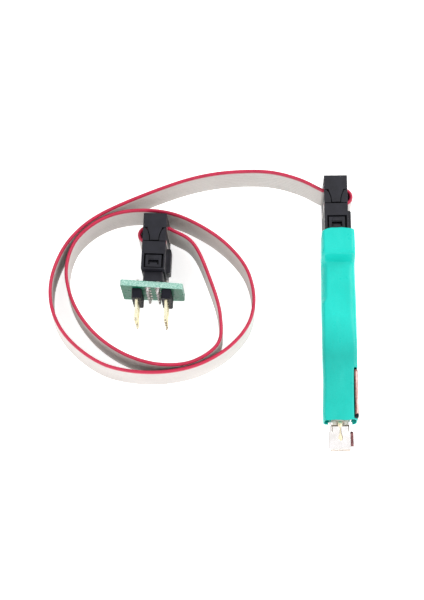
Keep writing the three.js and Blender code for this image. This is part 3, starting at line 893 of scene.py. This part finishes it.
def shoulder(top, half, across, count):
    """The upper left corner, nearly a straight slope from the top face down to the left side."""
    down = across * SHOULDER_STEEP
    points = []
    for i in range(count):
        angle = i / count * math.pi / 2
        points.append(Vector((
            across - half - across * math.sin(angle) ** SHOULDER_FLAT,
            top - down + down * math.cos(angle) ** SHOULDER_FLAT,
        )))
    return points


def sleeve_ring(y):
    """One section as (x, z) about the axis, anticlockwise from the slit's lower edge."""
    half = smooth_along(SLEEVE_HALF, y)
    top = smooth_along(SLEEVE_TOP, y)
    bottom = smooth_along(SLEEVE_BOTTOM, y)
    r = smooth_along(SLEEVE_CORNER, y)
    across = smooth_along(SLEEVE_SHOULDER, y)
    points = stretch_of(Vector((half, SLIT_LOW)), Vector((half, top - r)), 5)
    points += corner_arc(Vector((half - r, top - r)), r, 0, 6)
    points += stretch_of(Vector((half - r, top)), Vector((across - half, top)), 14)
    points += shoulder(top, half, across, 6)
    points += stretch_of(Vector((-half, top - across * SHOULDER_STEEP)), Vector((-half, r - bottom)), 10)
    points += corner_arc(Vector((r - half, r - bottom)), r, 2, 6)
    points += stretch_of(Vector((r - half, -bottom)), Vector((half - r, -bottom)), 14)
    points += corner_arc(Vector((half - r, r - bottom)), r, 3, 6)
    points += stretch_of(Vector((half, r - bottom)), Vector((half, SLIT_LOW)), 5)
    return points


def sleeve_mesh():
    """A soft tube shrunk over the boards, open at both ends, with the slit at its right edge."""
    bm = bmesh.new()
    count = round((SLEEVE_LIP - SLEEVE_MOUTH) / SLEEVE_STEP)
    stations = [SLEEVE_MOUTH + (SLEEVE_LIP - SLEEVE_MOUTH) * i / count for i in range(count + 1)]
    loops = []
    for y in stations:
        ring = sleeve_ring(y)
        loops.append([bm.verts.new(sleeve_point(p, y)) for p in ring])
    size = len(loops[0])
    for near, far, y0, y1 in zip(loops, loops[1:], stations, stations[1:]):
        middle = (y0 + y1) / 2
        for i in range(size):
            if i < SLIT_COUNT and SLIT_Y[0] < middle < SLIT_Y[1]:
                continue
            k = (i + 1) % size
            bm.faces.new((near[i], near[k], far[k], far[i]))
    bmesh.ops.recalc_face_normals(bm, faces=bm.faces)
    obj = temporary(bm)
    wall = obj.modifiers.new("wall", "SOLIDIFY")
    wall.thickness = SLEEVE_WALL
    wall.offset = -1
    rounding = obj.modifiers.new("rounding", "SUBSURF")
    rounding.levels = rounding.render_levels = 1
    return applied(obj)


def sleeve_point(p, y):
    """A section point in place, with the soft unevenness of shrunk tube and the bow of its lip."""
    narrowed = p.x * (1 - SLEEVE_TAPER * max(0.0, -p.y))
    place = Vector((smooth_along(SLEEVE_X, y) + narrowed, y, AXIS_Z + p.y))
    near_lip = max(0.0, 1 - (SLEEVE_LIP - y) / 3)
    near_mouth = max(0.0, 1 - (y - SLEEVE_MOUTH) / 2)
    bow = (0.55 if p.x < 0 else 0.25) * (p.x / 4.4) ** 2 * near_lip
    waver = 0.2 * noise.noise(Vector((p.x * 0.5, 3.7, p.y * 0.4))) * (near_lip + near_mouth)
    calm = min(1.0, (SLEEVE_LIP - y) / 2, (y - SLEEVE_MOUTH) / 2)
    dent = calm * 0.1 * noise.noise(Vector((p.x * 0.45, y * 0.32, p.y * 0.35)))
    outward = Vector((p.x, 0, p.y)).normalized()
    place.y += waver - bow
    return place - outward * (0.03 + max(0.0, dent))


def sleeve():
    return piece("sleeve", sleeve_mesh(), Matrix(), "programmer", [SLEEVE_TEAL],
                 ["heat_shrink_sleeve"])


# ---- plug ----


def plug_section(wide, tall, radius=0.55):
    return rounded_rectangle((0, AXIS_Z), (wide / 2, tall / 2), radius, 4)


def teardrop(half, neck, reach):
    """An oval round the latch spring's middle, drawn out backwards into a narrow neck."""
    x, y = SPRING
    angles = [math.radians(a) for a in range(130, 411, 10)]
    waist = y + 2.1 * half[1]
    return [(x + half[0] * math.cos(a), y + half[1] * math.sin(a)) for a in angles] + [
        (x + neck, waist), (x + neck, reach), (x - neck, reach), (x - neck, waist)]


def plug_shell_mesh():
    """Folded sheet: a wider head, a neck with slots and an opening above, a latch window and a seam."""
    front, back = PLUG["front"], PLUG["back"]
    head = prism(plug_section(PLUG["wide"], PLUG["tall"]), front, PLUG["head"] + 0.3, "y")
    neck = prism(plug_section(PLUG["neck"], PLUG["tall"]), PLUG["head"], back, "y")
    long_middle = (front + back) / 2
    plan = rounded_rectangle((0, long_middle), (PLUG["wide"] / 2, back - long_middle), PLUG_CORNER, 5)
    inner = PLUG["neck"] - 2 * PLUG["wall"]
    bore = prism(plug_section(inner, PLUG["tall"] - 2 * PLUG["wall"], 0.35), front - 1, back + 1, "y")
    above = (AXIS_Z, AXIS_Z + PLUG["tall"])
    below = (AXIS_Z - PLUG["tall"], AXIS_Z - PLUG["tall"] / 2 + PLUG["wall"] + 0.1)
    side = block((PLUG["wide"] / 2 - 0.72, PLUG["wide"]), (-52.55, -48.65), (AXIS_Z - 0.7, AXIS_Z + 3))
    slots = [block(around(sx * SLOT_X, SLOT_WIDE), SLOT_Y, above) for sx in (-1, 1)]
    opening = block(around(0, OPENING_WIDE), (OPENING_Y, back + 1), above)
    seam = block(around(0.0, 0.12), (front + 1.5, back + 1), below)
    lances = [block(around(sx * 1.6, 0.9), (-50.6, -48.6), below) for sx in (-1, 1)]
    return shaped(head, [
        ("UNION", neck),
        ("INTERSECT", prism(plan, AXIS_Z - 5, AXIS_Z + 5, "z")),
        ("DIFFERENCE", bore),
        ("DIFFERENCE", prism(teardrop((0.58, 0.82), 0.19, -47.0), *above, "z")),
        ("DIFFERENCE", side),
        ("DIFFERENCE", together(slots)),
        ("DIFFERENCE", opening),
        ("DIFFERENCE", seam),
        ("DIFFERENCE", together(lances)),
    ], 0.03)


def plug_insulator_mesh():
    """The core: the spring's bed, a gap behind the shell's top, and a groove for each contact."""
    front, back = PLUG["front"] + 0.5, PLUG["back"] - 0.2
    high = PLUG["tall"] - 2 * PLUG["wall"] - 0.2
    core = prism(plug_section(PLUG["neck"] - 2 * PLUG["wall"] - 0.2, high, 0.3), front, back, "y")
    bed = block(around(SPRING[0], 2.2), (front - 1, back - 3), (AXIS_Z + high / 2 - 0.7, AXIS_Z + high))
    grooves = [block(around(x * 0.8, 0.5), (front - 1, back + 1), (AXIS_Z - 0.7, AXIS_Z - 0.3))
               for x in range(-2, 3)]
    gap = block(around(0, 4.6), (-47.5, -46.8), (AXIS_Z + high / 2 - 1.3, AXIS_Z + high))
    return shaped(core, [("DIFFERENCE", bed), ("DIFFERENCE", together(grooves)), ("DIFFERENCE", gap)], 0.05)


def plug_spring_mesh():
    """A round gold end with a raised crown, on a stem that widens behind the shell's top."""
    top = AXIS_Z + PLUG["tall"] / 2 - PLUG["wall"] - 0.3
    crown = oval(SPRING, (0.28, 0.45), 24)
    tail = block(around(SPRING[0], 1.1), (OPENING_Y, -45.2), (top - 0.15, top + 0.1))
    return shaped(prism(teardrop((0.54, 0.78), 0.14, -46.6), top - 0.15, top + 0.25, "z"),
                  [("UNION", tail), ("UNION", prism(crown, top, top + 0.4, "z"))], 0.05)


def plug_collar_mesh():
    """A crimped ring round the neck, open above."""
    low, high = COLLAR_Y
    ring = prism(plug_section(PLUG["neck"] + 0.4, PLUG["tall"] + 0.6, 0.7), low, high, "y")
    hole = prism(plug_section(PLUG["neck"] + 0.05, PLUG["tall"] + 0.05, 0.6), low - 1, high + 1, "y")
    top_cut = block(around(0, 4.0), (low - 0.5, high + 0.5), (AXIS_Z, AXIS_Z + 4))
    return shaped(ring, [("DIFFERENCE", hole), ("DIFFERENCE", top_cut)], 0.08)


def plug_side_bar():
    """The dark strip in the head's right side, a little fatter than the frame's."""
    low, high = (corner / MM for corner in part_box("plug_side_strip"))
    bar = shaped(block((low.x, high.x + 0.22), (low.y, high.y), (low.z, high.z)), (), 0.16)
    piece("plug_side_bar", bar, Matrix(), "programmer", [EDGE_MAROON], ["plug_side_strip"])


def plug():
    body = "programmer"
    piece("plug_shell_sheet", plug_shell_mesh(), Matrix(), body, [PLUG_NICKEL], ["plug_shell"])
    piece("plug_core", plug_insulator_mesh(), Matrix(), body, [PLUG_IVORY], ["plug_insulator"])
    piece("plug_latch", plug_spring_mesh(), Matrix(), body, [PALE_GOLD], ["plug_spring"])
    piece("plug_ring", plug_collar_mesh(), Matrix(), body, [PLUG_NICKEL], ["plug_collar"])
    plug_side_bar()
    for i in range(1, 6):
        dress(f"plug_contact_{i}", PIN_GOLD, 0.03)


# ---- stick's inside ----


def edge_strip():
    """The copper strip in the sleeve's slit, with a painted highlight along a raised ridge and a black block
    of painted shade at its end.
    """
    bar = shaped(block(STRIP_X, STRIP_Y, STRIP_Z), (), 0.18)
    piece("edge_strip_bar", bar, Matrix(), "programmer", [EDGE_COPPER], ["board_edge_strip"])
    # Painted highlight: a lighter copper on a raised ridge along the strip.
    ridge = shaped(block(RIDGE_X, RIDGE_Y, (STRIP_Z[1] - 0.35, STRIP_Z[1] + 0.15)), (), 0.07)
    piece("edge_strip_ridge_painted_highlight", ridge, Matrix(), "programmer", [EDGE_PAINTED_HIGHLIGHT])
    # Painted shade: a black block over the strip's plug end stands in for the shadow in a recess there.
    cap_x = (STRIP_X[0] - 0.02, STRIP_X[1] + 0.02)
    end = shaped(block(cap_x, (STRIP_Y[0] - 0.05, STRIP_Y[0] + 0.8), (10.0, STRIP_Z[1] + 0.17)), (), 0.2)
    piece("edge_strip_end_painted_shade", end, Matrix(), "programmer", [HEADER_BLACK])


def electronics():
    edge_strip()
    dress("main_board", BOARD_GREEN, 0.06)
    dress("header_board", BOARD_GREEN, 0.06)
    dress("programmer_header_base", CONNECTOR_BLACK, 0.12)
    dress("microcontroller", CHIP_BLACK, 0.05)
    dress("voltage_regulator", CHIP_BLACK, 0.06)
    dress("crystal", PLUG_NICKEL, 0.15)
    dress("status_led", LED_CLEAR, 0.08)
    for name in ("tantalum_capacitor", "decoupling_capacitor_1", "decoupling_capacitor_2"):
        dress(name, CAPACITOR_TAN, 0.08)
    for name in ("data_resistor_1", "data_resistor_2"):
        dress(name, CHIP_BLACK, 0.05)
    for name in ("joint_solder_left", "joint_solder_right"):
        dress(name, SOLDER_TIN, 0.25)
    for i in range(1, 11):
        dress(f"programmer_pin_{i}", PIN_GOLD, 0.05)


# ---- target adapter, in the target socket's frame ----


def notched_outline(columns, rows, middle):
    """A header block's outline in X and Z: each place bulges, with a notch between two."""
    half_wide = columns * PITCH / 2
    notch = 0.32
    right = []
    for row in range(rows):
        low = (row - rows / 2) * PITCH
        right += [(middle + half_wide - notch, low), (middle + half_wide, low + 2 * notch),
                  (middle + half_wide, low + PITCH - 2 * notch)]
    right.append((middle + half_wide - notch, rows * PITCH / 2))
    left = [(2 * middle - x, z) for x, z in reversed(right)]
    return right + left


def header_block_mesh(columns, rows, middle, low, high):
    form = prism(notched_outline(columns, rows, middle), low, high, "y")
    return shaped(form, (), 0.08)


def square_pin(x, z, low, high):
    """A pin along Y with tapered ends."""
    full, thin = PIN_SIDE / 2, PIN_SIDE / 4
    stations = ((low, thin), (low + PIN_TIP, full), (high - PIN_TIP, full), (high, thin))
    corners = ((1, 1), (-1, 1), (-1, -1), (1, -1))
    return loft([[(x + a * half, y, z + b * half) for a, b in corners] for y, half in stations])


def solder_joint(x, z, base, tip, radius):
    """A cone with hollow flanks round a pin, from the board's face at base to tip."""
    steps = 7
    rings = []
    for i in range(steps + 1):
        t = i / steps
        r = radius * ((1 - t) ** 2 * 0.62 + 0.38 * (1 - 0.25 * t))
        y = base + (tip - base) * t
        rings.append([(px, y, pz) for px, pz in oval((x, z), (r, r), 14)])
    return loft(rings)


def board_mesh():
    """The board, its faces lacquered and its cut edges bare."""
    left, right = BOARD_MIDDLE - BOARD_HALF_WIDE, BOARD_MIDDLE + BOARD_HALF_WIDE
    foot, cut = BOARD_FOOT, BOARD_CUT
    outline = [
        (left + cut, foot),
        (right - 2 * cut, foot),
        (right - 0.6 * cut, foot + 0.3 * cut),
        (right, foot + 2 * cut),
        (right, BOARD_HEAD[1] - cut),
        (right - cut, BOARD_HEAD[1]),
        (left + cut, BOARD_HEAD[0]),
        (left, BOARD_HEAD[0] - cut),
        (left, foot + cut),
    ]
    mesh = shaped(prism(outline, BOARD_LOW, BOARD_TOP, "y"), (), 0.08)
    for polygon in mesh.polygons:
        polygon.material_index = 0 if abs(polygon.normal.y) > 0.6 else 1
    return mesh


def pads_mesh():
    """Tinned rings round every pin, on both faces."""
    rings = []
    places = header_places() + [(x, z) for x in ROW_X for z in ROW_Z]
    for x, z in places:
        for low in (BOARD_LOW - 0.04, BOARD_TOP - 0.03):
            rings.append(prism(oval((x, z), (PAD_RADIUS, PAD_RADIUS), 20), low, low + 0.07, "y"))
    return shaped(together(rings), (), 0.0)


def joints_mesh():
    """Solder on the header's tails below the board, and on the two rows above it."""
    joints = [solder_joint(x, z, BOARD_LOW, BOARD_LOW - 0.7, TAIL_JOINT) for x, z in header_places()]
    joints += [solder_joint(x, z, BOARD_TOP, BOARD_TOP + 0.95, ROW_JOINT) for x in ROW_X for z in ROW_Z]
    return shaped(together(joints), (), 0.0)


def tracks_mesh():
    """Copper tracks under the lacquer, from the header's places to the two rows."""
    tracks = []
    width, high = 0.34, 0.035
    for row, (z, side) in enumerate((z, side) for z in ROW_Z for side in (0, 1)):
        start = (-1, 1)[side] * PITCH / 2
        end = ROW_X[side]
        level = z + (-0.5 if row % 4 < 2 else 0.5) * PITCH
        tracks.append(block(span(start, end), (BOARD_LOW - high, BOARD_LOW + 0.02), around(level, width)))
        tracks.append(block(around(end, width), (BOARD_LOW - high, BOARD_LOW + 0.02), span(level, z)))
    return shaped(together(tracks), (), 0.0)


def adapter(place):
    body = "adapter"
    piece("adapter_circuit_board", board_mesh(), place, body, [BOARD_GREEN, BOARD_EDGE],
          ["adapter_board"])
    piece("adapter_header_block", header_block_mesh(2, 5, 0, HEADER_LOW, HEADER_TOP), place, body,
          [CONNECTOR_BLACK], ["adapter_header"])
    pins = [square_pin(x, z, BOARD_LOW - 1.5, HEADER_TOP + 6.0) for x, z in header_places()]
    piece("adapter_header_pins", shaped(together(pins), (), 0.04), place, body, [SOLDER_TIN])
    piece("adapter_pads", pads_mesh(), place, body, [SOLDER_TIN])
    piece("adapter_joints", joints_mesh(), place, body, [SOLDER_TIN])
    piece("adapter_tracks", tracks_mesh(), place, body, [BOARD_GREEN])
    for side, x in zip(("left", "right"), ROW_X):
        mesh = header_block_mesh(1, 4, x, INSULATOR_LOW, INSULATOR_TOP)
        piece(f"adapter_insulator_{side}_block", mesh, place, body, [HEADER_BLACK],
              [f"adapter_insulator_{side}"])
        for i in range(1, 5):
            dress(f"adapter_pin_{side}_{i}", TIP_GOLD, 0.05)


# ---- stage ----


def camera():
    data = bpy.data.cameras.new("camera")
    data.lens = CAMERA_LENS
    data.sensor_width = SENSOR
    data.clip_start = 0.01
    obj = bpy.data.objects.new("camera", data)
    bpy.context.scene.collection.objects.link(obj)
    forward = Vector((0, math.cos(CAMERA_DOWN), -math.sin(CAMERA_DOWN)))
    across = Vector((1, 0, 0))
    upward = Vector((0, math.sin(CAMERA_DOWN), math.cos(CAMERA_DOWN)))
    right = across * math.cos(CAMERA_ROLL) - upward * math.sin(CAMERA_ROLL)
    up = upward * math.cos(CAMERA_ROLL) + across * math.sin(CAMERA_ROLL)
    turned = Matrix((right, up, -forward)).transposed().to_4x4()
    obj.matrix_world = Matrix.Translation(CAMERA_AT) @ turned
    bpy.context.scene.camera = obj


def soft_box(name, at, target, size, power):
    data = bpy.data.lights.new(name, "AREA")
    data.shape = "SQUARE"
    data.size = size
    data.energy = power
    obj = bpy.data.objects.new(name, data)
    bpy.context.scene.collection.objects.link(obj)
    aim = (Vector(target) - Vector(at)).to_track_quat("-Z", "Y")
    obj.matrix_world = Matrix.Translation(at) @ aim.to_matrix().to_4x4()


def studio():
    world = bpy.data.worlds.new("studio")
    world.use_nodes = True
    world.node_tree.nodes["Background"].inputs["Color"].default_value = (1, 1, 1, 1)
    world.node_tree.nodes["Background"].inputs["Strength"].default_value = SURROUND
    bpy.context.scene.world = world
    bpy.context.scene.view_settings.view_transform = "Standard"
    low, high = cad_bounds
    middle = (Vector(low) + Vector(high)) / 2
    for name, (offset, size, power) in SOFT_BOXES.items():
        soft_box(name, middle + Vector(offset), middle, size, power)


def floor():
    bm = bmesh.new()
    bmesh.ops.create_grid(bm, x_segments=8, y_segments=8, size=1.2)
    mesh = bpy.data.meshes.new("floor")
    bm.to_mesh(mesh)
    bm.free()
    mesh.materials.append(FLOOR_PALE)
    obj = bpy.data.objects.new("floor", mesh)
    bpy.context.scene.collection.objects.link(obj)


# ---- making ----

SLEEVE_TEAL = sleeve_teal()
CONNECTOR_BLACK = moulded_black()
HEADER_BLACK = moulded_black("header_black", 0.06)
RIBBON_GREY = ribbon_grey()
RIBBON_RED = ribbon_red()
BOARD_GREEN = board_green()
BOARD_EDGE = board_edge()
PIN_GOLD = pin_gold()
PALE_GOLD = pin_gold("pin_gold_pale", dull=(1.0, 0.85, 0.58), bright=(1.0, 0.93, 0.72))
TIP_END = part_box("adapter_pin_left_1")[0].y
TIP_WORN = (TIP_END, TIP_END + WORN_TIP * MM)
TIP_GOLD = pin_gold("pin_gold_worn", TIP_WORN, (1.0, 0.92, 0.62), (1.0, 0.98, 0.80))
PLUG_NICKEL = plug_nickel()
PLUG_IVORY = plug_ivory()
EDGE_COPPER = edge_copper()
EDGE_MAROON = edge_copper("edge_maroon", (0.06, 0.02, 0.025), (0.42, 0.20, 0.20))
# A lighter copy of the copper, as a painted highlight on the strip's ridge.
EDGE_PAINTED_HIGHLIGHT = edge_copper("edge_painted_highlight", (0.70, 0.44, 0.40), (0.90, 0.64, 0.60))
SOLDER_TIN = solder_tin()
CHIP_BLACK = chip_black()
CAPACITOR_TAN = capacitor_tan()
LED_CLEAR = led_clear()
FLOOR_PALE = floor_pale()

camera()
programmer_place = local_place("programmer_socket_body")
target_place = local_place("target_socket_body", TARGET_TURN, TARGET_LEAN)
ribbon, ribbon_path = free_ribbon()
on_ribbon = socket("programmer", programmer_place, 1) + socket("target", target_place, -1)

sleeve()
plug()
electronics()
adapter(target_place)
floor()
studio()
